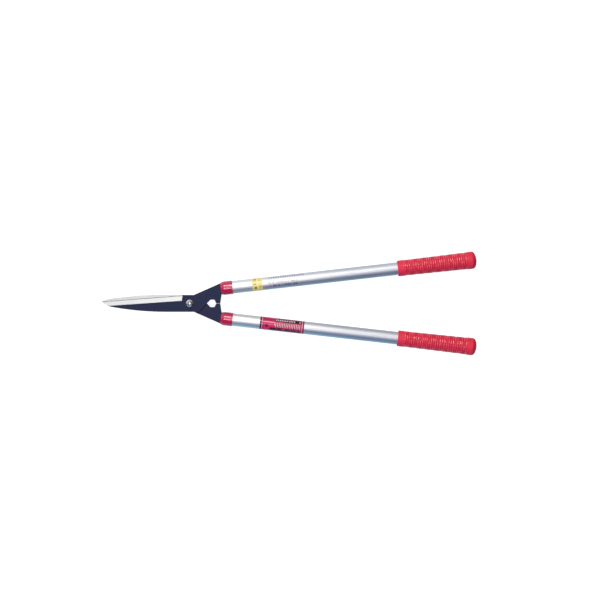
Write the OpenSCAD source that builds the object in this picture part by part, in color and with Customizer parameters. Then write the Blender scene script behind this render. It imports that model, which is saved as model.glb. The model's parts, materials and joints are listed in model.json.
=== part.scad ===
// Hedge shears: two forged blades on tubular handles, lying flat and closed.
// Millimetres. X runs from the blade tips to the grips, Y across, Z up.
// The shapes are drawn about the pivot, on the plane between the blades, and
// place() moves them so that the origin is the middle of the footprint.

/* [Blades] */
// Pivot centre to blade tip
blade_len = 153.9; // [130:0.1:190]
// Half of the width of a blade at its root
blade_hw = 14.65; // [13.5:0.05:15]
// Thickness of each blade at the boss
blade_t = 4; // [3:0.1:4.5]
// Thickness lost between the boss and the tip
blade_taper = 0.35; // [0.2:0.05:1]
// Height of the edge left under the bevel
edge_t = 0.5; // [0.3:0.1:1]
// Angle of the bevel
bevel_deg = 22; // [16:0.2:26]
// Gap between the flat faces of the two blades
face_gap = 0.1; // [0.06:0.02:0.3]

/* [Pivot] */
// Diameter of the plain part of the bolt
journal_d = 8; // [7:0.1:9]
// Thread diameter
thread_d = 6; // [5:0.1:6.5]
// Diameter of the flange of the nut
flange_d = 13.4; // [12.6:0.1:17]
// Across the flats of the nut
nut_af = 10; // [9:0.1:11]
// Diameter of the round, flat-topped head under the lower blade
head_d = 16; // [13:0.5:20]

/* [Handles] */
// Angle between each tube and the long axis
handle_deg = 6.45; // [5:0.05:9]
// Outside diameter of the tubes
tube_d = 22; // [20:0.1:22.6]
// Wall of the tubes
tube_wall = 1.5; // [1:0.1:2]
// Largest diameter of the ferrules
ferrule_d = 23.6; // [23.4:0.1:26]
// Where the grips start, measured along the tube axis
grip_start = 362.5; // [300:0.5:420]
// Length of the grips
grip_len = 137.5; // [110:0.1:160]
// Diameter of the grips where they start
grip_d1 = 27.4; // [26:0.1:29]
// Diameter of the grips near their ends
grip_d2 = 30.2; // [30:0.1:34]
// Distance between the ribs of the grips
rib_pitch = 3.8; // [3:0.1:6]
// Depth of the grooves between the ribs
rib_depth = 0.7; // [0.3:0.1:1.2]

/* [Labels] */
// Thickness of the two wrapped labels
label_t = 0.12; // [0.08:0.02:0.3]
// Start of the yellow label along the tube axis
yellow_start = 108.7; // [90:0.1:150]
// Length of the yellow label
yellow_len = 18; // [10:0.1:30]
// Start of the red label along the tube axis
red_start = 122.3; // [90:0.1:160]
// Length of the red label
red_len = 76.8; // [50:0.5:120]

/* [Hidden] */
$fn = 96;
eps = 0.01;
half_gap = face_gap / 2;
face_z = half_gap + blade_t;

// the forgings: heel of the edge and how far the end of the bevel leans
// there, where the back starts to curve, and the length of the tip's own
// tighter curve
heel_x = -12.5;
heel_y = 13.7;
heel_lean = 9.2;
spine_x = -40;
tip_run = 20;
spine_dx = blade_len - tip_run + spine_x;

// each blade's back: its distance from the pivot line, how far it has risen
// where the tip's curve starts, and the radius of that curve
UPPER = [blade_hw, 8.2, 42];
LOWER = [blade_hw + 0.45, 6.3, 69];
function back_r(b) = (spine_dx * spine_dx + b[1] * b[1]) / (2 * b[1]);
function back_a(b) = asin(spine_dx / back_r(b));
function tip_cx(b) = spine_x - (back_r(b) - b[2]) * sin(back_a(b));
function tip_cy(b) = back_r(b) - b[0] - (back_r(b) - b[2]) * cos(back_a(b));
function tip_a(b) = asin((tip_cx(b) + blade_len) / b[2]);
function tip_y(b) = tip_cy(b) - b[2] * cos(tip_a(b));

// the boss corner and the diagonal that is square to its radius
boss_x = 15.2;
boss_r = norm([boss_x, blade_hw]);
boss_a = atan2(blade_hw, boss_x);
shoulder_gap = 1.5;
shoulder_r = boss_r + shoulder_gap;
cross_x = (shoulder_r + boss_r) / (2 * cos(boss_a));
cross_y = (shoulder_r - boss_r) / (2 * sin(boss_a));
hex_y = 6.4;
hex_x = (boss_r + hex_y * sin(boss_a)) / cos(boss_a);
hex_flat = 7;
stop_y = 0.17;
stop_x1 = 45.8;
stop_x2 = 52.4;

// the handle: stations run along the tube axis from the foot of the pivot
axis_y = 19.7;
ferrule_s = 54;
ferrule_len = 20.4;
ferrule_nose = 6.4;
front_r = 10.4;
tang_hi = 9.2;
tube_s = ferrule_s + 4.5;
tube_e = grip_start + grip_len - 6.1;
shank_w = 14;
shank_e = ferrule_s + 44;
shank_t = 2 * face_z;
plug_e = ferrule_s + 54;
pin_s = ferrule_s + 13;
pin_r = 2;
ca = cos(handle_deg);
sa = sin(handle_deg);
front_x = ferrule_s * ca;
front_y = axis_y + ferrule_s * sa;
top_x = front_x - tang_hi * sa;
top_y = front_y + tang_hi * ca;
low_x = front_x + front_r * sa;
low_y = front_y - front_r * ca;

// the outer edge of the tang and where the shoulder line meets it
tang_x = 6.8;
tang_m = (top_y - blade_hw) / (top_x - tang_x);
sh_x = (shoulder_r - (blade_hw - tang_m * tang_x) * sin(boss_a))
     / (cos(boss_a) + tang_m * sin(boss_a));
sh_y = blade_hw + tang_m * (sh_x - tang_x);

// the rounded ends of the grips and the origin of the part
grip_r1 = grip_d1 / 2;
grip_r2 = grip_d2 / 2;
grip_e = grip_start + grip_len;
end_r = 6.5;
dome_r = 28;
dome_a = asin((grip_r2 - end_r) / (dome_r - end_r));
end_t = grip_len - dome_r + (dome_r - end_r) * cos(dome_a);
grip_x = (grip_e - dome_r) * ca + dome_r;
piv_x = (blade_len - grip_x) / 2;
mid_z = grip_r2;
rib_s1 = 11;
rib_n = floor((grip_len - rib_s1 - 13) / rib_pitch);

// the pivot stack, measured from the plane between the blades
washer_t = 0.8;
washer_z = face_z + 0.05;
seat_z = washer_z + washer_t + 0.05;
nut_h = 8;
insert_z = seat_z + 5.7;
bolt_top = seat_z + nut_h + 0.9;
head_h = 3.6;
neck_h = blade_t - 0.5;

steel = [0.17, 0.19, 0.27];
bright = [0.82, 0.83, 0.85];
alu = [0.86, 0.88, 0.9];
crimson = [0.72, 0.12, 0.28];
red = [0.86, 0.18, 0.27];

module place() {
    translate([piv_x, 0, mid_z]) children();
}

// side 1 is the right-hand handle, side -1 the left-hand one; inside, Z runs
// along the tube and X points down
module on_tube(side) {
    place() translate([0, side * axis_y, 0]) rotate([0, 0, side * handle_deg])
        rotate([0, 90, 0]) children();
}

// an arc of the underside of a circle, leaning over from angle a1 to a2
function low_arc(cx, cy, r, a1, a2, n) =
    [for (i = [0:n]) let (a = a1 + (a2 - a1) * i / n)
        [cx - r * sin(a), cy - r * cos(a)]];

module plan(b) {
    polygon(concat(
        [[boss_x, -blade_hw], [heel_x + 1.3, -blade_hw], [heel_x, -b[0]]],
        low_arc(spine_x, back_r(b) - b[0], back_r(b), 0, back_a(b), 32),
        low_arc(tip_cx(b), tip_cy(b), b[2], back_a(b) + 2, tip_a(b), 14),
        [[heel_x, heel_y], [heel_x + 1.3, blade_hw], [tang_x, blade_hw],
         [top_x, top_y], [low_x, low_y], [stop_x2, stop_y],
         [stop_x1, stop_y], [hex_x + hex_flat, hex_y], [hex_x, hex_y]]));
}

module thick_plan() {
    polygon([[sh_x, sh_y], [top_x, top_y], [low_x, low_y],
             [stop_x2, stop_y], [stop_x1, stop_y],
             [hex_x + hex_flat, hex_y], [hex_x, hex_y],
             [cross_x, cross_y]]);
}

// the bevel is cut along the edge, from the heel to beyond the tip; its
// section is drawn with the distance in from the edge along X
module bevel_cut(b) {
    rise = tan(bevel_deg);
    low = half_gap + edge_t;
    edge_a = atan2(heel_y - tip_y(b), heel_x + blade_len);
    translate([heel_x, heel_y, 0]) intersection() {
        rotate([0, 0, edge_a]) rotate([90, 0, -90]) translate([0, 0, -6])
            linear_extrude(blade_len + 11)
                polygon([[-2, low - 2 * rise], [-2, 8], [14, 8],
                         [14, low + 14 * rise]]);
        rotate([0, 0, -heel_lean]) translate([-200, -100, -10])
            cube([200, 200, 20]);
    }
}

module taper_cut() {
    translate([0, 40, 0]) rotate([90, 0, 0]) linear_extrude(80)
        polygon([[heel_x, face_z], [heel_x, face_z + 2],
                 [-blade_len - 1, face_z + 2],
                 [-blade_len - 1, face_z - blade_taper]]);
}

// one forging, as it lies when it is the upper one and has no pivot hole
module forging(b) {
    difference() {
        union() {
            translate([0, 0, half_gap]) linear_extrude(blade_t) plan(b);
            translate([0, 0, -face_z]) linear_extrude(shank_t) thick_plan();
            translate([0, axis_y, 0]) rotate([0, 0, handle_deg])
                translate([ferrule_s - 2, -shank_w / 2, -face_z])
                    cube([shank_e - ferrule_s + 2, shank_w, shank_t]);
        }
        bevel_cut(b);
        taper_cut();
        translate([0, axis_y, 0]) rotate([0, 0, handle_deg])
            translate([pin_s, 0, -face_z - 1])
                cylinder(r = pin_r, h = shank_t + 2);
    }
}

module upper_blade() {
    color(steel) place() difference() {
        forging(UPPER);
        translate([0, 0, -1]) cylinder(d = journal_d + 0.1, h = face_z + 2);
    }
}

module lower_blade() {
    color(steel) place() rotate([180, 0, 0]) difference() {
        forging(LOWER);
        translate([-journal_d / 2 - 0.05, -journal_d / 2 - 0.05, -1])
            cube([journal_d + 0.1, journal_d + 0.1, face_z + 2]);
    }
}

module pivot_bolt() {
    color(bright) place() {
        translate([0, 0, -face_z - head_h]) rotate_extrude()
            polygon(concat([[0, 0]],
                [for (i = [0:9]) let (a = 10 * i)
                    [head_d / 2 - 3 * (1 - sin(a)), 3 * (1 - cos(a))]],
                [[head_d / 2, head_h], [0, head_h]]));
        translate([-journal_d / 2, -journal_d / 2, -face_z])
            cube([journal_d, journal_d, neck_h]);
        translate([0, 0, -face_z]) cylinder(d = journal_d, h = face_z + seat_z);
        translate([0, 0, seat_z - eps])
            cylinder(d = thread_d, h = bolt_top - seat_z - 0.5 + eps);
        translate([0, 0, bolt_top - 0.5])
            cylinder(d1 = thread_d, d2 = thread_d - 1, h = 0.5);
    }
}

module pivot_washer() {
    color(bright) place() translate([0, 0, washer_z]) difference() {
        cylinder(d = flange_d - 0.6, h = washer_t);
        translate([0, 0, -1]) cylinder(d = journal_d + 0.1, h = washer_t + 2);
    }
}

module pivot_nut() {
    color(bright) place() translate([0, 0, seat_z]) difference() {
        union() {
            cylinder(d = flange_d, h = 1);
            translate([0, 0, 1])
                cylinder(d1 = flange_d, d2 = nut_af, h = 1.6);
            intersection() {
                cylinder(d = nut_af / cos(30), h = 5.6, $fn = 6);
                union() {
                    cylinder(d = nut_af / cos(30) + 1, h = 4.8);
                    translate([0, 0, 4.8]) cylinder(
                        d1 = nut_af / cos(30) + 1, d2 = nut_af - 0.6, h = 0.8);
                }
            }
            translate([0, 0, 5.5]) cylinder(d = nut_af - 0.6, h = nut_h - 6);
            translate([0, 0, nut_h - 0.5])
                cylinder(d1 = nut_af - 0.6, d2 = nut_af - 1.8, h = 0.5);
        }
        translate([0, 0, -1]) cylinder(d = thread_d, h = nut_h + 2);
        translate([0, 0, insert_z - seat_z])
            cylinder(d = nut_af - 2.4, h = nut_h);
    }
}

module nut_insert() {
    color([0.25, 0.3, 0.5]) place() translate([0, 0, insert_z]) difference() {
        cylinder(d = nut_af - 2.4, h = 1.9);
        translate([0, 0, -1]) cylinder(d = thread_d, h = 4);
    }
}

module ferrule(side) {
    color(crimson) on_tube(side) difference() {
        rotate_extrude() polygon([
            [0, ferrule_s], [front_r - 0.4, ferrule_s],
            [front_r, ferrule_s + 0.4],
            [ferrule_d / 2, ferrule_s + ferrule_nose],
            [ferrule_d / 2, ferrule_s + ferrule_len - 0.4],
            [ferrule_d / 2 - 0.3, ferrule_s + ferrule_len],
            [0, ferrule_s + ferrule_len]]);
        translate([0, 0, tube_s]) cylinder(d = tube_d, h = ferrule_len);
        translate([-face_z, -shank_w / 2, ferrule_s - 1])
            cube([shank_t, shank_w, 10]);
    }
}

module tube(side) {
    color(alu) on_tube(side) difference() {
        translate([0, 0, tube_s]) cylinder(d = tube_d, h = tube_e - tube_s);
        translate([0, 0, tube_s - 1])
            cylinder(d = tube_d - 2 * tube_wall, h = tube_e - tube_s + 2);
        translate([-tube_d, 0, pin_s]) rotate([0, 90, 0])
            cylinder(r = pin_r, h = 2 * tube_d);
    }
}

module tang_plug(side) {
    color([0.2, 0.2, 0.22]) on_tube(side) difference() {
        translate([0, 0, tube_s])
            cylinder(d = tube_d - 2 * tube_wall, h = plug_e - tube_s);
        translate([-face_z, -shank_w / 2, tube_s - 1])
            cube([shank_t, shank_w, shank_e - tube_s + 1]);
        translate([-tube_d, 0, pin_s]) rotate([0, 90, 0])
            cylinder(r = pin_r, h = 2 * tube_d);
    }
}

module tang_pin(side) {
    color(bright) on_tube(side)
        translate([0.3 - tube_d / 2, 0, pin_s]) rotate([0, 90, 0])
            difference() {
                cylinder(r = pin_r, h = tube_d - 0.6);
                translate([0, 0, -1]) cylinder(r = pin_r - 0.7, h = tube_d + 2);
                translate([0, -0.3, -1]) cube([pin_r + 1, 0.6, tube_d + 2]);
            }
}

// radius of the smooth grip at a distance t from its start
function grip_r(t) = grip_r1 + (grip_r2 - grip_r1) * t / end_t;

module grip(side) {
    half = rib_pitch * 0.2;
    color(red) on_tube(side) translate([0, 0, grip_start]) difference() {
        rotate_extrude($fn = 64) polygon(concat(
            [[0, 0], [grip_r1 - 0.8, 0], [grip_r1, 0.8]],
            [for (i = [0:rib_n - 1], k = [-1:1])
                let (t = rib_s1 + rib_pitch * (i + 0.5) + k * half)
                [grip_r(t) - (k == 0 ? rib_depth : 0), t]],
            [for (i = [0:9]) let (a = i * (90 - dome_a) / 9)
                [grip_r2 - end_r + end_r * cos(a), end_t + end_r * sin(a)]],
            [for (i = [3:-1:0]) let (a = dome_a * i / 4)
                [dome_r * sin(a), grip_len - dome_r * (1 - cos(a))]]));
        translate([0, 0, -1]) cylinder(d = tube_d, h = grip_len - 5.1);
    }
}

// a label wrapped round the tube, open by a few degrees underneath
module label(side, start, length) {
    on_tube(side) translate([0, 0, start]) rotate([0, 0, 5])
        rotate_extrude(angle = 350) translate([tube_d / 2, 0])
            square([label_t, length]);
}

module right_ferrule() { ferrule(1); }
module left_ferrule() { ferrule(-1); }
module right_tube() { tube(1); }
module left_tube() { tube(-1); }
module right_tang_plug() { tang_plug(1); }
module left_tang_plug() { tang_plug(-1); }
module right_tang_pin() { tang_pin(1); }
module left_tang_pin() { tang_pin(-1); }
module right_grip() { grip(1); }
module left_grip() { grip(-1); }

module yellow_label() {
    color([0.95, 0.92, 0.55]) label(1, yellow_start, yellow_len);
}

module red_label() {
    color(crimson) label(-1, red_start, red_len);
}

upper_blade();
lower_blade();
pivot_bolt();
pivot_nut();
nut_insert();
pivot_washer();
right_ferrule();
left_ferrule();
right_tube();
left_tube();
right_tang_plug();
left_tang_plug();
right_tang_pin();
left_tang_pin();
right_grip();
left_grip();
yellow_label();
red_label();
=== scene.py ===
"""Hedge shears, lying closed on a plain floor, seen from straight above."""
import json
import math

import bmesh
import bpy
from mathutils import Matrix, Vector


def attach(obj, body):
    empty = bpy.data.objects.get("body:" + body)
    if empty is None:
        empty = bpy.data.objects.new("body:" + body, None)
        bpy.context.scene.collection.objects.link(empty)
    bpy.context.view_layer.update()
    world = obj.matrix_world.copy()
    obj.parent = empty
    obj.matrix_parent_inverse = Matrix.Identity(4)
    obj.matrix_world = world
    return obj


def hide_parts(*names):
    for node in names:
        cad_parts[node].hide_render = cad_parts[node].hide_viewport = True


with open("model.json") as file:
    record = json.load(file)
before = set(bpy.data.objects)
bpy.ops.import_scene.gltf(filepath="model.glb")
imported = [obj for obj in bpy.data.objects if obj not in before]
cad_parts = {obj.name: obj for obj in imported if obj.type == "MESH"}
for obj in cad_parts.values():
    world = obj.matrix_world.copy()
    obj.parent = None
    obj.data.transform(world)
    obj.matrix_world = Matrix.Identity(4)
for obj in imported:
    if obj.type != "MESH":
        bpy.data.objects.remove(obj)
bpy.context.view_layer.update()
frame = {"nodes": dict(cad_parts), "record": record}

MM = 0.001
RIGHT, LEFT = 1, -1
BODY = {RIGHT: "right_shear", LEFT: "left_shear"}
SIDE_NAME = {RIGHT: "right", LEFT: "left"}
PIVOT = Vector(frame["record"]["behaviour"]["joints"][0]["pos_m"])

# the sizes of the shears, in mm about the pivot; a station is a distance
# along a tube's axis from its foot beside the pivot
HANDLE_DEG = 6.45          # each tube leans this far from the X axis
AXIS_FOOT = 19.7           # from the pivot to the foot of a tube's axis
TUBE_R = 11.0
BLADE_LEN = 153.9
HEEL = (-12.5, 13.7)       # the rear end of the cutting edge
HEEL_LEAN = math.tan(math.radians(9.2))
BEVEL_SLOPE = math.tan(math.radians(22))
EDGE_Z = 0.55              # height of the cutting edge's land
INNER_Z = 0.05             # height of a blade's ground inner face
UPPER_TIP_Y, LOWER_TIP_Y = 3.0, -2.94
FERRULE_START, FERRULE_LEN = 54.0, 20.4
FERRULE_R, FERRULE_FRONT_R, FERRULE_NOSE = 11.8, 10.4, 6.4
GRIP_START, GRIP_LEN = 362.5, 137.5
GRIP_R1, GRIP_R2 = 13.7, 15.1
END_R, DOME_R = 6.5, 28.0
DOME_A = math.asin((GRIP_R2 - END_R) / (DOME_R - END_R))
END_T = GRIP_LEN - DOME_R + (DOME_R - END_R) * math.cos(DOME_A)
RIB_PITCH, RIB_START, RIB_COUNT, RIB_DEPTH = 3.8, 11.0, 29, 0.75
RIBS_END = RIB_START + RIB_PITCH * RIB_COUNT
YELLOW_START, RED_START = 108.7, 122.3
BOLT_HEAD_R, BOLT_HEAD_H, BOLT_TOP = 8.0, 3.6, 13.85
SEAT_Z = 4.95              # height of the seat of the nut
BLADE_TOP_Z = 4.05
JOURNAL_R, THREAD_R = 4.0, 3.0


# ------------------------------------------------------------ node materials
def linear(r, g, b):
    """An sRGB colour in 0..255 as the linear colour that shaders take."""
    part = [c / 255 for c in (r, g, b)]
    part = [c / 12.92 if c <= 0.04045 else ((c + 0.055) / 1.055) ** 2.4
            for c in part]
    return (*part, 1.0)


class Shade:
    """A material on one Principled shader, with short names for its nodes."""

    def __init__(self, name, **sockets):
        self.mat = bpy.data.materials.new(name)
        self.mat.use_nodes = True
        self.tree = self.mat.node_tree
        self.tree.nodes.clear()
        self.bsdf = self.tree.nodes.new("ShaderNodeBsdfPrincipled")
        end = self.tree.nodes.new("ShaderNodeOutputMaterial")
        self.tree.links.new(self.bsdf.outputs[0], end.inputs[0])
        for key, value in sockets.items():
            self.set(key.replace("_", " "), value)

    def set(self, socket, value):
        self.feed(self.bsdf.inputs[socket], value)

    def feed(self, socket, value):
        if isinstance(value, bpy.types.NodeSocket):
            self.tree.links.new(value, socket)
        else:
            socket.default_value = value

    def node(self, kind, values=None, out=0, **props):
        n = self.tree.nodes.new(kind)
        for key, value in props.items():
            setattr(n, key, value)
        for key, value in (values or {}).items():
            self.feed(n.inputs[key], value)
        return n.outputs[out]

    def math(self, op, a, b=0.0, c=0.0):
        return self.node("ShaderNodeMath", {0: a, 1: b, 2: c}, operation=op)

    def add(self, a, b):
        return self.math("ADD", a, b)

    def sub(self, a, b):
        return self.math("SUBTRACT", a, b)

    def mul(self, a, b):
        return self.math("MULTIPLY", a, b)

    def vector(self, op, a, b, out=0):
        return self.node("ShaderNodeVectorMath", {0: a, 1: b}, out=out,
                         operation=op)

    def ramp(self, value, low, high, to_low=0.0, to_high=1.0):
        return self.node("ShaderNodeMapRange",
                         {0: value, 1: low, 2: high, 3: to_low, 4: to_high},
                         interpolation_type="SMOOTHSTEP")

    def mix(self, share, a, b):
        """Colours a and b blended by share."""
        return self.node("ShaderNodeMix", {0: share, 6: a, 7: b}, out=2,
                         data_type="RGBA")

    def blend(self, share, a, b):
        """Numbers a and b blended by share."""
        return self.node("ShaderNodeMix", {0: share, 2: a, 3: b})

    def noise(self, where, scale, detail=2.0, rough=0.5):
        return self.node("ShaderNodeTexNoise",
                         {"Vector": where, "Scale": scale, "Detail": detail,
                          "Roughness": rough})

    def stretch(self, where, x, y, z):
        return self.vector("MULTIPLY", where, (x, y, z))

    def bump(self, height, strength, distance):
        self.set("Normal", self.node(
            "ShaderNodeBump", {"Height": height, "Strength": strength,
                               "Distance": distance}))

    def split(self, where):
        n = self.tree.nodes.new("ShaderNodeSeparateXYZ")
        self.feed(n.inputs[0], where)
        return n.outputs[0], n.outputs[1], n.outputs[2]

    def from_pivot(self):
        """Millimetres from the pivot, fixed to the object."""
        here = self.node("ShaderNodeTexCoord", out="Object")
        away = self.vector("SUBTRACT", here, tuple(PIVOT))
        return self.stretch(away, 1 / MM, 1 / MM, 1 / MM)

    def reach(self, a, b):
        """Distance from an axis, from the two coordinates across it."""
        return self.math("SQRT", self.add(self.mul(a, a), self.mul(b, b)))

    def along_tube(self, side):
        """Millimetres along, across and up from the foot of a tube's axis."""
        away = self.vector("SUBTRACT", self.from_pivot(),
                           (0, side * AXIS_FOOT, 0))
        return self.node("ShaderNodeVectorRotate",
                         {"Vector": away, "Axis": (0, 0, 1),
                          "Angle": -side * math.radians(HANDLE_DEG)})

    def round_tube(self, side):
        """Station in mm and angle in degrees from the top, towards +Y."""
        x, y, z = self.split(self.along_tube(side))
        turn = self.math("ARCTAN2", y, z)
        return x, self.mul(turn, math.degrees(1))

    def patch(self, u, v, cu, cv, hu, hv, soft=0.15):
        """1 inside a box of half sizes hu, hv about cu, cv in (u, v)."""
        du = self.sub(self.math("ABSOLUTE", self.sub(u, cu)), hu)
        dv = self.sub(self.math("ABSOLUTE", self.sub(v, cv)), hv)
        return self.ramp(self.math("MAXIMUM", du, dv), soft, -soft)

    def ticks(self, u, pitch, full, run, share, seed):
        """Short marks along u, each as long as the part full of a pitch; of
        the runs of marks, run marks long, only a share is printed."""
        place = self.math("FRACT", self.math("DIVIDE", u, pitch))
        mark = self.math("LESS_THAN", place, full)
        return self.mul(mark, self.dashes(u, run * pitch, share, seed))

    def dashes(self, u, pitch, share, seed):
        """Cells along u, of which a share, picked by the seed, is printed."""
        cell = self.math("FLOOR", self.math("DIVIDE", u, pitch))
        luck = self.node("ShaderNodeTexWhiteNoise",
                         {"W": self.add(cell, seed)},
                         noise_dimensions="1D")
        return self.math("LESS_THAN", luck, share)


def blade_steel(name, flip, tip_y):
    """Dark coated forging with ground bevel and ground inner face; flip is
    -1 for the lower blade, which lies upside down."""
    s = Shade(name)
    p = s.from_pivot()
    x, y, z = s.split(p)
    y, z = s.mul(y, flip), s.mul(z, flip)
    # distance in from the cutting edge, and back from the end of the bevel
    run, rise = HEEL[0] + BLADE_LEN, HEEL[1] - tip_y
    length = math.hypot(run, rise)
    left = s.sub(x, HEEL[0])
    down = s.sub(HEEL[1], y)
    inward = s.add(s.mul(left, rise / length), s.mul(down, run / length))
    ahead = s.add(left, s.mul(down, HEEL_LEAN))
    ground = s.ramp(ahead, 0.12, 0.02)
    plane = s.sub(z, s.add(s.mul(inward, BEVEL_SLOPE), EDGE_Z))
    on_bevel = s.mul(s.ramp(s.math("ABSOLUTE", plane), 0.16, 0.10), ground)
    # the inner face is ground along the blade and round the pivot
    bearing = s.math("MAXIMUM", ground, s.ramp(s.reach(x, y), 16.5, 15.5))
    facing = s.ramp(s.math("ABSOLUTE", s.sub(z, INNER_Z)), 0.16, 0.10)
    flat = s.math("MAXIMUM", s.ramp(x, HEEL[0] - 0.05, HEEL[0] - 0.2), bearing)
    inner = s.mul(facing, flat)
    edge = s.mul(s.ramp(inward, 0.30, 0.2), ground)
    bright = s.math("MAXIMUM", s.math("MAXIMUM", on_bevel, inner), edge)

    # the coating: dark blue, slightly cloudy and scuffed, its grain fine and
    # soft;
    # on the inner side it is painted almost black, as shade in the gaps between
    # the blades
    cloud = s.noise(p, 0.045, 3.0)
    grain = s.noise(p, 1.6, 4.0, 0.6)
    dark = s.mix(s.ramp(cloud, 0.35, 0.65), (0.005, 0.012, 0.035, 1),
                 (0.010, 0.010, 0.036, 1))
    scuff = s.ramp(s.noise(s.stretch(p, 0.5, 0.14, 0.3), 1.0, 6.0, 0.75),
                   0.60, 0.72)
    dark = s.mix(s.mul(scuff, 0.25), dark, (0.035, 0.042, 0.075, 1))
    # painted shade: the inner plane's coat is painted almost black, as the
    # shade in the gaps between the blades
    dark = s.mix(s.mul(facing, 0.9), dark, (0.001, 0.001, 0.004, 1))

    # ground steel: fine lines straight across the blade, and a painted shade
    # line along the cutting edge
    lines = s.noise(s.stretch(p, 9.0, 0.35, 1.0), 1.0, 4.0, 0.65)
    broad = s.noise(s.stretch(p, 0.8, 0.05, 0.2), 1.0, 2.0)
    steel = s.mix(lines, (0.285, 0.285, 0.275, 1), (0.355, 0.355, 0.34, 1))
    steel = s.mix(s.mul(broad, 0.35), steel, (0.26, 0.265, 0.27, 1))
    # painted shade: a dark strip along the cutting edge, as the shade of the
    # gap line there
    painted_edge_shade = s.mul(s.ramp(inward, 1.0, 0.7), ground)
    steel = s.mix(painted_edge_shade, steel, (0.07, 0.07, 0.072, 1))
    steel = s.mix(s.mul(inner, 0.10), steel, (0.52, 0.52, 0.50, 1))

    s.set("Base Color", s.mix(bright, dark, steel))
    s.set("Metallic", bright)
    s.set("Roughness", s.blend(
        bright, s.ramp(grain, 0.3, 0.7, 0.44, 0.56),
        s.ramp(lines, 0.3, 0.7, 0.40, 0.52)))
    s.set("Specular IOR Level", 0.12)
    s.bump(s.blend(bright, grain, s.mul(lines, 0.6)), 0.25, 0.0003)
    return s.mat


def aluminium(name, side, printed):
    """Satin drawn tube, with faint rows of generic marks where printed."""
    s = Shade(name, Metallic=1.0)
    p = s.along_tube(side)
    draw = s.noise(s.stretch(p, 0.02, 2.6, 2.6), 1.0, 4.0, 0.6)
    mottle = s.noise(s.stretch(p, 0.06, 0.3, 0.3), 1.0, 3.0)
    nick = s.ramp(s.noise(s.stretch(p, 0.25, 1.8, 1.8), 1.0, 5.0, 0.75),
                  0.66, 0.74)
    base = s.mix(draw, (0.43, 0.435, 0.445, 1), (0.505, 0.505, 0.51, 1))
    base = s.mix(s.mul(mottle, 0.25), base, (0.41, 0.43, 0.47, 1))
    station, _, _ = s.split(p)
    # painted light: the tube is painted paler towards its foot by the ferrule,
    # where the light falls brighter
    painted_light_tone = s.mix(draw, (0.60, 0.595, 0.56, 1), (0.67, 0.66, 0.62, 1))
    base = s.mix(s.ramp(station, 300, 60), base, painted_light_tone)
    base = s.mix(s.mul(nick, 0.25), base, (0.36, 0.37, 0.40, 1))
    rough = s.ramp(draw, 0.3, 0.7, 0.50, 0.60)
    metal = 1.0
    if printed:
        u, turn = s.round_tube(side)
        ink = 0.0
        # rows: where round the tube, their marks, where along it, strength
        for turn_mid, half, marks, start, end, tone in (
                (51, 7, (4.0, 0.55, 2, 0.92, 3), 137, 200, 0.9),
                (-2, 7, (1.8, 0.7, 1, 0.64, 11), 136, 187, 0.50),
                (-29, 10, (1.8, 0.7, 1, 0.70, 29), 138, 188, 0.90)):
            row = s.patch(u, turn, (start + end) / 2, turn_mid,
                          (end - start) / 2, half, 0.4)
            row = s.mul(row, s.ticks(s.add(u, s.mul(turn, 0.03)), *marks))
            ink = s.math("MAXIMUM", ink, s.mul(row, tone))
        base = s.mix(ink, base, linear(70, 52, 96))
        rough = s.blend(ink, rough, 0.5)
        metal = s.sub(1.0, s.mul(ink, 0.8))
    s.set("Base Color", base)
    s.set("Metallic", metal)
    s.set("Roughness", rough)
    s.bump(s.add(draw, s.mul(nick, -0.6)), 0.12, 0.0002)
    return s.mat


def zinc(name):
    """Plated hardware, slightly spotted."""
    s = Shade(name, Metallic=1.0)
    p = s.from_pivot()
    spot = s.noise(p, 0.9, 5.0, 0.7)
    fine = s.noise(p, 6.0, 3.0)
    base = s.mix(s.ramp(spot, 0.35, 0.65), (0.38, 0.36, 0.34, 1),
                 (0.52, 0.49, 0.46, 1))
    # painted shade: the bolt's end face is painted nearly black round its plain
    # middle
    x, y, z = s.split(p)
    end = s.mul(s.ramp(z, BOLT_TOP - 0.85, BOLT_TOP - 0.65),
                s.ramp(s.reach(x, y), 1.0, 1.5))
    base = s.mix(s.mul(end, 0.85), base, (0.06, 0.06, 0.07, 1))
    s.set("Base Color", base)
    s.set("Roughness", s.ramp(spot, 0.3, 0.7, 0.22, 0.38))
    s.bump(s.add(fine, spot), 0.15, 0.0002)
    return s.mat


def crimson_gloss(name, side):
    """High gloss moulded collar."""
    s = Shade(name, IOR=1.5)
    p = s.along_tube(side)
    cloud = s.noise(p, 0.12, 3.0)
    ripple = s.noise(s.stretch(p, 0.5, 0.25, 0.25), 1.0, 2.0)
    s.set("Base Color", s.mix(s.ramp(cloud, 0.3, 0.7), (0.34, 0.005, 0.038, 1),
                              (0.38, 0.008, 0.046, 1)))
    s.set("Roughness", s.ramp(s.noise(p, 1.4, 4.0, 0.6), 0.3, 0.75,
                              0.05, 0.11))
    s.bump(ripple, 0.06, 0.0004)
    return s.mat


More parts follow.
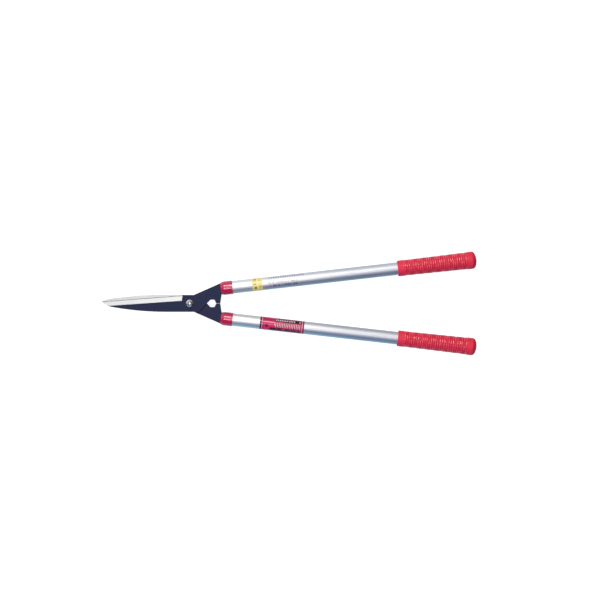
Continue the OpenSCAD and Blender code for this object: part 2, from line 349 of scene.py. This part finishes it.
def red_rubber(name, side):
    """Soft satin moulding, with painted shade in its hollows and paler rib
    crests as a painted highlight.
    """
    s = Shade(name, IOR=1.5)
    s.set("Specular IOR Level", 0.35)
    s.set("Coat IOR", 1.9)
    s.set("Coat Roughness", 0.14)
    p = s.along_tube(side)
    x, y, z = s.split(p)
    # depth below the smooth cone that the ribs reach
    cone = s.add(GRIP_R1, s.mul(s.sub(x, GRIP_START), 0.0108))
    skin = s.sub(s.reach(y, z), cone)
    hollow_shade = s.ramp(skin, -0.05, -0.65)
    cloud = s.noise(p, 0.08, 3.0)
    pores = s.noise(p, 2.4, 3.0, 0.6)
    first, last = GRIP_START + 10.0, GRIP_START + 122.0
    ribbed = s.mul(s.ramp(x, first, first + 1.5), s.ramp(x, last, last - 1.5))
    base = s.mix(s.ramp(cloud, 0.3, 0.7), (0.51, 0.007, 0.030, 1),
                 (0.58, 0.010, 0.038, 1))
    # painted shade: the hollows between the ribs are painted darker
    base = s.mix(s.mul(hollow_shade, 0.5), base, (0.34, 0.004, 0.020, 1))
    crest = s.mul(s.ramp(skin, -0.20, -0.02), ribbed)
    # painted highlight: the rib crests are painted paler pink, on top of their
    # real gloss coat
    base = s.mix(s.mul(crest, 0.4), base, (0.74, 0.06, 0.06, 1))
    s.set("Base Color", base)
    s.set("Roughness", s.ramp(pores, 0.3, 0.7, 0.50, 0.62))
    s.set("Coat Weight", s.mul(crest, 0.75))
    s.bump(pores, 0.20, 0.0002)
    return s.mat


def black_moulding(name):
    """Matt black plastic of the plugs."""
    s = Shade(name, IOR=1.5)
    p = s.from_pivot()
    fleck = s.noise(p, 1.5, 5.0, 0.7)
    s.set("Base Color", s.mix(fleck, (0.02, 0.02, 0.022, 1),
                              (0.05, 0.05, 0.055, 1)))
    s.set("Roughness", s.ramp(fleck, 0.3, 0.7, 0.5, 0.65))
    s.bump(fleck, 0.2, 0.0002)
    return s.mat


def nylon(name):
    """Dark blue locking ring."""
    s = Shade(name, IOR=1.5)
    p = s.from_pivot()
    fleck = s.noise(p, 3.0, 3.0)
    s.set("Base Color", s.mix(fleck, linear(34, 38, 56), linear(54, 60, 80)))
    s.set("Roughness", s.ramp(fleck, 0.3, 0.7, 0.45, 0.6))
    s.bump(fleck, 0.15, 0.0001)
    return s.mat


def yellow_print(name):
    """Pale yellow film in two bands, with a few generic short bars."""
    s = Shade(name, IOR=1.55)
    u, turn = s.round_tube(RIGHT)
    p = s.along_tube(RIGHT)
    u = s.sub(u, YELLOW_START)
    base = s.mix(s.noise(p, 0.3, 3.0), linear(194, 178, 98),
                 linear(206, 190, 108))
    base = s.mix(s.ramp(s.math("ABSOLUTE", s.sub(u, 8.9)), 0.9, 0.3), base,
                 linear(214, 204, 140))
    # marks: middle along and round, half sizes, strength
    for cu, cv, hu, hv, tone in (
            (5.4, 52, 2.4, 13, 0.50), (4.9, 2, 1.9, 5, 0.75),
            (6.1, -32, 1.9, 12, 0.85), (14.0, -24, 1.9, 11, 0.40),
            (13.0, 50, 1.3, 8, 0.15)):
        mark = s.patch(u, turn, cu, cv, hu, hv, 0.4)
        base = s.mix(s.mul(mark, tone), base, linear(80, 66, 30))
    s.set("Base Color", base)
    s.set("Roughness", s.ramp(s.noise(p, 1.0, 4.0), 0.3, 0.7, 0.28, 0.40))
    s.bump(s.noise(p, 0.7, 3.0), 0.10, 0.0002)
    return s.mat


def red_print(name):
    """Crimson film with a plain disc, bars and double end lines."""
    s = Shade(name, IOR=1.5)
    s.set("Specular IOR Level", 0.28)
    u, turn = s.round_tube(LEFT)
    p = s.along_tube(LEFT)
    u = s.sub(u, RED_START)
    pale, ink = linear(184, 142, 150), (0.012, 0.003, 0.008, 1)
    base = s.mix(s.noise(p, 0.2, 3.0), linear(150, 18, 56),
                 linear(164, 24, 64))
    # a lighter panel with a plain dark disc in it
    panel = s.patch(u, turn, 16.0, -24, 9.0, 36, 0.5)
    base = s.mix(panel, base, linear(190, 20, 74))
    disc_u, disc_turn, disc_r = 11.8, -16, 3.1
    off_u = s.sub(u, disc_u)
    off_v = s.mul(s.sub(turn, disc_turn), TUBE_R * math.radians(1))
    off = s.reach(off_u, off_v)
    disc = s.ramp(off, disc_r + 0.2, disc_r - 0.2)
    base = s.mix(s.mul(disc, 0.85), base, (0.05, 0.004, 0.03, 1))
    # a thin pale line above them, a painted highlight along the film
    line = s.patch(u, turn, 14.5, 17, 11.0, 3.0, 0.4)
    base = s.mix(s.mul(line, 0.8), base, linear(226, 150, 174))
    # a dark band along the top with black and white bars in it
    strip = s.patch(u, turn, 49.5, 45, 22.4, 18, 0.4)
    base = s.mix(strip, base, ink)
    bars = s.mul(s.patch(u, turn, 49.5, 44, 21.8, 9, 0.4),
                 s.ticks(u, 3.1, 0.5, 2, 0.85, 5))
    base = s.mix(s.mul(bars, 0.9), base, linear(206, 188, 192))
    # a dark band along the bottom with dim bars
    strip = s.patch(u, turn, 45.0, -50, 27.4, 18, 0.4)
    base = s.mix(strip, base, (0.028, 0.004, 0.016, 1))
    bars = s.mul(s.patch(u, turn, 47.0, -42, 25.0, 9, 0.4),
                 s.dashes(u, 1.8, 0.42, 17))
    base = s.mix(s.mul(bars, 0.55), base, linear(178, 60, 92))
    # a band of plain pale bars that all lean the same way
    bar_pitch, bar_part = 4.2, 0.55
    hatch = s.math("FRACT", s.math("DIVIDE", s.add(u, s.mul(turn, 0.06)),
                                   bar_pitch))
    hatch = s.mul(s.math("LESS_THAN", hatch, bar_part),
                  s.patch(u, turn, 48.0, -4, 23.2, 21, 0.4))
    base = s.mix(s.mul(hatch, 0.8), base, pale)
    # double lines at both ends
    for cu, hu, colour in ((1.2, 1.3, (0.05, 0.004, 0.018, 1)),
                           (3.7, 0.5, pale), (73.4, 0.55, pale),
                           (75.8, 1.1, (0.08, 0.006, 0.026, 1))):
        base = s.mix(s.patch(u, turn, cu, 0, hu, 200, 0.25), base, colour)
    s.set("Base Color", base)
    s.set("Roughness", s.ramp(s.noise(p, 1.0, 4.0), 0.3, 0.7, 0.24, 0.36))
    s.bump(s.noise(p, 0.7, 3.0), 0.08, 0.0002)
    return s.mat


# ------------------------------------------------------------ mesh pieces
def to_tube(side):
    """Places a mesh made in mm along +X onto a tube's axis."""
    return (Matrix.Translation(PIVOT) @ Matrix.Scale(MM, 4)
            @ Matrix.Translation((0, side * AXIS_FOOT, 0))
            @ Matrix.Rotation(side * math.radians(HANDLE_DEG), 4, "Z"))


def to_pivot():
    """Places a mesh made in mm about the pivot."""
    return Matrix.Translation(PIVOT) @ Matrix.Scale(MM, 4)


def sheet_of(rows, closed_round=True):
    """A grid mesh of vertex rows; one-point rows become poles."""
    bm = bmesh.new()
    made = [[bm.verts.new(p) for p in row] for row in rows]
    for a, b in zip(made, made[1:]):
        n = max(len(a), len(b))
        for i in range(n if closed_round else n - 1):
            j = (i + 1) % n
            if len(a) == 1:
                bm.faces.new((a[0], b[j], b[i]))
            elif len(b) == 1:
                bm.faces.new((a[i], a[j], b[0]))
            else:
                bm.faces.new((a[i], a[j], b[j], b[i]))
    return bm


def finish_piece(name, bm, place, body, material, sharp=40):
    bmesh.ops.recalc_face_normals(bm, faces=bm.faces)
    mesh = bpy.data.meshes.new(name)
    bm.to_mesh(mesh)
    bm.free()
    mesh.transform(place)
    obj = bpy.data.objects.new(name, mesh)
    bpy.context.collection.objects.link(obj)
    mesh.materials.append(material)
    mesh.shade_smooth()
    mesh.set_sharp_from_angle(angle=math.radians(sharp))
    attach(obj, body)
    return obj


def ring(x, r, n, shape=None):
    """n points round the X axis at station x; shape(angle) adds to r."""
    pts = []
    for i in range(n):
        a = 2 * math.pi * i / n
        rr = r + (shape(a) if shape else 0.0)
        pts.append((x, rr * math.sin(a), rr * math.cos(a)))
    return pts


def corner(x, r, cx, cr, a0, a1, n):
    """Profile points of a quarter round, centre (x, r), in (x, r)."""
    return [(x + cx * math.cos(math.radians(a0 + (a1 - a0) * i / n)),
             r + cr * math.sin(math.radians(a0 + (a1 - a0) * i / n)))
            for i in range(n + 1)]


def soft_step(v, a, b):
    t = min(1.0, max(0.0, (v - a) / (b - a)))
    return t * t * (3 - 2 * t)


SECTORS = 10               # strips of raised pads round a grip
RIBS_PER_PAD = 4


def rib_height(t, a):
    """How far the surface stands above the bottom of the grooves, as a part
    of their depth, at a distance t along a grip and an angle a round it."""
    p = ((t - RIB_START) / RIB_PITCH) % 1.0
    ridge = (0.5 - 0.5 * math.cos(2 * math.pi * p)) ** 0.6
    sector = SECTORS * a / (2 * math.pi)
    k = math.floor(sector)
    f = sector - k
    across = soft_step(f, 0.0, 0.12) * (1 - soft_step(f, 0.88, 1.0))
    q = ((t - RIB_START) / (RIBS_PER_PAD * RIB_PITCH) + 0.5 * (k % 2)) % 1.0
    pad = soft_step(q, 0.0, 0.12) * (1 - soft_step(q, 0.62, 0.74))
    return ridge * (0.3 + 0.7 * pad * across)


def make_grip(side):
    """A ribbed sleeve with a rounded mouth and a closed, domed end."""
    n, bore, lip = 130, TUBE_R + 0.05, 0.9
    rows = []
    for x, r in [(3.0, bore), (0.0, bore), (0.0, GRIP_R1 - lip)]:
        rows.append(ring(x, r, n))
    for x, r in corner(lip, GRIP_R1 - lip, -lip, lip, 0, 90, 5)[1:]:
        rows.append(ring(x, r, n))

    def smooth_r(t):
        return GRIP_R1 + (GRIP_R2 - GRIP_R1) * t / END_T

    for t in (3.0, 6.0, 9.0, 10.4):
        rows.append(ring(t, smooth_r(t), n))
    steps = RIB_COUNT * 9
    for i in range(steps + 1):
        t = RIB_START + (RIBS_END - RIB_START) * i / steps
        fade = soft_step(t, RIB_START, RIB_START + 0.6)
        fade *= 1 - soft_step(t, RIBS_END - 0.6, RIBS_END)
        rows.append(ring(
            t, smooth_r(t), n,
            lambda a: fade * RIB_DEPTH * (rib_height(t, a) - 1.0)))
    for t in (RIBS_END + 0.7, RIBS_END + 3, END_T - 2):
        rows.append(ring(t, smooth_r(t), n))
    for i in range(11):
        a = i * (math.pi / 2 - DOME_A) / 10
        rows.append(ring(END_T + END_R * math.sin(a),
                         GRIP_R2 - END_R + END_R * math.cos(a), n))
    for i in range(5, 0, -1):
        a = DOME_A * i / 6
        rows.append(ring(GRIP_LEN - DOME_R * (1 - math.cos(a)),
                         DOME_R * math.sin(a), n))
    rows.append([(GRIP_LEN, 0, 0)])
    rows = [[(x + GRIP_START, y, z) for x, y, z in row] for row in rows]
    name = SIDE_NAME[side] + "_grip"
    grip = finish_piece(name + "_moulding", sheet_of(rows), to_tube(side),
                        BODY[side],
                        red_rubber("red_" + name, side))
    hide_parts(name)


def make_ferrule(side):
    """A collar with a curved nose, over the end of its tube."""
    n, bends, front, rear = 128, 12, 0.6, 0.5
    rim = FERRULE_FRONT_R - front
    profile = [(0.0, 3.0), (0.0, 7.0), (0.0, rim)]
    profile += corner(front, rim, -front, front, 0, 90, 4)[1:]
    for i in range(1, bends + 1):
        bend = math.sin(math.pi / 2 * i / bends)
        profile.append((front + (FERRULE_NOSE - front) * i / bends,
                        FERRULE_FRONT_R + (FERRULE_R - FERRULE_FRONT_R) * bend))
    for x in (9.0, 13.0, 17.0):
        profile.append((x, FERRULE_R))
    profile += corner(FERRULE_LEN - rear, FERRULE_R - rear, rear, rear,
                      90, 0, 5)
    profile += [(FERRULE_LEN, TUBE_R + 0.02), (FERRULE_LEN - 2, TUBE_R)]

    def seam(a):
        """Two thin mould lines, on the sides of the collar."""
        off = min(abs(a - math.pi / 2), abs(a - 1.5 * math.pi))
        return 0.05 * (1 - soft_step(off, 0.0, 0.05))

    rows = []
    for i, (x, r) in enumerate(profile):
        outer = 3 < i < len(profile) - 6
        rows.append(ring(x + FERRULE_START, r, n, seam if outer else None))
    rows.insert(0, [(FERRULE_START, 0, 0)])
    name = SIDE_NAME[side] + "_ferrule"
    piece = finish_piece(name + "_collar", sheet_of(rows), to_tube(side),
                         BODY[side],
                         crimson_gloss("crimson_" + name, side), 50)
    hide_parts(name)


def make_bolt(material):
    """Head, square neck, journal and a cut M6 thread, in mm on +Z."""
    def row(z, r, n=96):
        return [(y, w, z) for _, y, w in ring(0, r, n)]

    low = -BLADE_TOP_Z - BOLT_HEAD_H
    round_r, lip = 3, 0.15
    profile = [(BOLT_HEAD_R - round_r, low)]
    profile += [(BOLT_HEAD_R - round_r * (1 - math.sin(math.radians(a))),
                 low + round_r * (1 - math.cos(math.radians(a))))
                for a in range(9, 91, 9)]
    profile += [(BOLT_HEAD_R, -BLADE_TOP_Z - lip),
                (BOLT_HEAD_R - lip, -BLADE_TOP_Z), (JOURNAL_R, -BLADE_TOP_Z),
                (JOURNAL_R, SEAT_Z - 0.25), (JOURNAL_R - 0.25, SEAT_Z),
                (THREAD_R, SEAT_Z), (THREAD_R, 10.4)]
    rows = [[(0, 0, low)]] + [row(z, r) for r, z in profile]
    # the thread is cut from just inside the nut's ring to the bolt's end,
    # where its crests fall away
    top, pitch, depth, point = BOLT_TOP, 1.0, 0.55, 0.45
    z = 10.45
    while z < top - 0.02:
        ends = 1 - soft_step(z, top - 0.7, top)
        pts = []
        for i in range(96):
            a = 2 * math.pi * i / 96
            f = (z / pitch - i / 96) % 1.0
            cut = min(1.0, max(0.0, 1.25 * (1 - abs(2 * f - 1)) - 0.12))
            rr = min(THREAD_R, THREAD_R - point + point * ends) - depth * cut
            pts.append((rr * math.sin(a), rr * math.cos(a), z))
        rows.append(pts)
        z += 0.08
    rows += [row(top, 2.35), row(top + 0.02, 1.2), [(0, 0, top)]]
    bm = sheet_of(rows)
    neck_h = 3.5
    neck = bmesh.ops.create_cube(bm, size=1.0)["verts"]
    bmesh.ops.scale(bm, vec=(2 * JOURNAL_R, 2 * JOURNAL_R, neck_h), verts=neck)
    bmesh.ops.translate(bm, vec=(0, 0, neck_h / 2 - BLADE_TOP_Z), verts=neck)
    bolt = finish_piece("pivot_bolt_threaded", bm, to_pivot(), "left_shear",
                        material)
    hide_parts("pivot_bolt")


# ------------------------------------------------------------ the object
def dress(node, material, round_mm=0.0):
    """Gives a CAD node its material and softens its sharp edges."""
    obj = frame["nodes"][node]
    if not obj.data.materials:
        obj.data.materials.append(material)
    for i in range(len(obj.data.materials)):
        obj.data.materials[i] = material
    if round_mm:
        # shared corners, a small bevel, and normals that keep faces flat
        weld = obj.modifiers.new("weld", "WELD")
        weld.merge_threshold = 0.00001
        soft = obj.modifiers.new("edges", "BEVEL")
        soft.width = round_mm * MM
        soft.segments = 2
        soft.limit_method = "ANGLE"
        soft.angle_limit = math.radians(35)
        soft.use_clamp_overlap = True
        even = obj.modifiers.new("normals", "WEIGHTED_NORMAL")
        even.weight = 100
        even.keep_sharp = True


zinc_mat = zinc("zinc_plate")
dress("upper_blade", blade_steel("steel_upper", 1, UPPER_TIP_Y), 0.12)
dress("lower_blade", blade_steel("steel_lower", -1, LOWER_TIP_Y), 0.12)
dress("pivot_nut", zinc_mat, 0.15)
dress("pivot_washer", zinc_mat, 0.05)
dress("nut_insert", nylon("nylon_insert"), 0.1)
for side in (RIGHT, LEFT):
    half_name = SIDE_NAME[side]
    dress(half_name + "_tube",
          aluminium("aluminium_" + half_name, side, side == RIGHT))
    dress(half_name + "_tang_plug", black_moulding("plug_" + half_name))
    dress(half_name + "_tang_pin", zinc_mat)
    make_grip(side)
    make_ferrule(side)
dress("yellow_label", yellow_print("yellow_film"))
dress("red_label", red_print("red_film"))
make_bolt(zinc_mat)


# ------------------------------------------------------------ the studio
def make_floor():
    """A plain white floor; the camera sees it lit evenly, and it sheds only
    a little light on the object."""
    rows = [[(x, y, 0) for x in (-12, -3, 0, 3, 12)]
            for y in (-12, -3, 0, 3, 12)]
    bm = sheet_of(rows, closed_round=False)
    mesh = bpy.data.meshes.new("floor")
    bm.to_mesh(mesh)
    bm.free()
    floor = bpy.data.objects.new("floor", mesh)
    bpy.context.collection.objects.link(floor)
    floor.visible_glossy = False
    s = Shade("floor_white", Roughness=0.9)
    here = s.node("ShaderNodeTexCoord", out="Object")
    s.set("Base Color", s.mix(s.noise(here, 3.0), (0.33, 0.33, 0.33, 1),
                              (0.37, 0.37, 0.37, 1)))
    s.set("Specular IOR Level", 0.0)
    s.set("Emission Color", (1, 1, 1, 1))
    seen = s.node("ShaderNodeLightPath", out="Is Camera Ray")
    s.set("Emission Strength", s.blend(seen, 0.08, 0.84))
    mesh.materials.append(s.mat)


def soft_box(name, tilt, spread, length, glow, along=0.0, shiny=True):
    """A rectangular light, leaning tilt degrees from overhead towards +Y,
    as wide as spread degrees, as bright as glow, and moved along X; gloss
    mirrors it only if it is shiny."""
    light = bpy.data.lights.new(name, "AREA")
    light.shape = "RECTANGLE"
    dist = 2.0
    width = 2 * dist * math.tan(math.radians(spread / 2))
    light.size, light.size_y = length, width
    light.energy = glow * math.pi * length * width
    obj = bpy.data.objects.new(name, light)
    a = math.radians(tilt)
    obj.location = (along, dist * math.sin(a), dist * math.cos(a))
    obj.rotation_euler = (-a, 0, 0)
    obj.visible_camera = False
    obj.visible_glossy = shiny
    bpy.context.collection.objects.link(obj)


# the room as the glossy parts see it: pale walls all round, bluer on the near
# side, a plain white far side, and a dark gap overhead on the near side; each
# lean is measured from overhead towards +Y
WALL, WHITE = (0.85, 1.0, 1.15), (0.85, 0.8, 0.85)
BLUE, GAP = (0.6, 1.1, 1.4), (0.05, 0.08, 0.3)
ROOM = ((-180, WALL), (-130, BLUE), (-60, GAP), (-22, GAP),
        (15, WHITE), (55, WHITE), (100, WALL), (180, WALL))


def make_world():
    """Light from all round, brighter from beyond the tips; the camera sees
    plain white."""
    world = bpy.data.worlds.new("studio")
    bpy.context.scene.world = world
    world.use_nodes = True
    t = world.node_tree
    t.nodes.clear()
    way = t.nodes.new("ShaderNodeTexCoord")
    parts = t.nodes.new("ShaderNodeSeparateXYZ")
    t.links.new(way.outputs["Generated"], parts.inputs[0])
    lean = t.nodes.new("ShaderNodeMath")
    lean.operation = "ARCTAN2"
    t.links.new(parts.outputs[1], lean.inputs[0])
    t.links.new(parts.outputs[2], lean.inputs[1])
    share = t.nodes.new("ShaderNodeMapRange")
    t.links.new(lean.outputs[0], share.inputs[0])
    share.inputs[1].default_value = -math.pi
    share.inputs[2].default_value = math.pi
    tint = t.nodes.new("ShaderNodeValToRGB")
    t.links.new(share.outputs[0], tint.inputs[0])
    stops = tint.color_ramp.elements
    stops[0].position, stops[1].position = 0.0, 1.0
    for stop in ROOM[1:-1]:
        stops.new((stop[0] + 180) / 360)
    for element, stop in zip(stops, ROOM):
        element.color = (*stop[1], 1)
    ends = t.nodes.new("ShaderNodeMapRange")
    ends.interpolation_type = "SMOOTHSTEP"
    t.links.new(parts.outputs[0], ends.inputs[0])
    low, high, beyond_tips, beyond_grips = -0.9, 0.9, 1.7, 0.3
    for socket, value in zip(ends.inputs[1:5],
                             (low, high, beyond_tips, beyond_grips)):
        socket.default_value = value
    uneven = t.nodes.new("ShaderNodeVectorMath")
    uneven.operation = "SCALE"
    t.links.new(tint.outputs[0], uneven.inputs[0])
    t.links.new(ends.outputs[0], uneven.inputs["Scale"])
    ray = t.nodes.new("ShaderNodeLightPath")
    seen = t.nodes.new("ShaderNodeMix")
    seen.data_type = "RGBA"
    t.links.new(ray.outputs["Is Camera Ray"], seen.inputs[0])
    t.links.new(uneven.outputs[0], seen.inputs[6])
    seen.inputs[7].default_value = (1, 1, 1, 1)
    back = t.nodes.new("ShaderNodeBackground")
    t.links.new(seen.outputs[2], back.inputs[0])
    end = t.nodes.new("ShaderNodeOutputWorld")
    t.links.new(back.outputs[0], end.inputs[0])


def make_camera():
    """Straight down, with a long lens."""
    cam = bpy.data.cameras.new("camera")
    cam.lens = 135
    cam.sensor_width = 36
    cam.clip_end = 100
    obj = bpy.data.objects.new("camera", cam)
    across = 1.041         # metres that the picture shows at the pivot
    away = across * cam.lens / cam.sensor_width
    obj.location = PIVOT + Vector((0.1909, 0.0059, away))
    bpy.context.collection.objects.link(obj)
    bpy.context.scene.camera = obj


make_floor()
make_world()
soft_box("box_far", 38, 15, 0.75, 14.0, along=-0.2)
soft_box("box_mid", 14, 30, 0.75, 2.4, along=-0.2)
soft_box("box_top", -10, 14, 0.75, 10.5, along=-0.2)
soft_box("fill_near", -58, 40, 2.4, 1.3, shiny=False)
make_camera()
bpy.context.scene.view_settings.view_transform = "Standard"
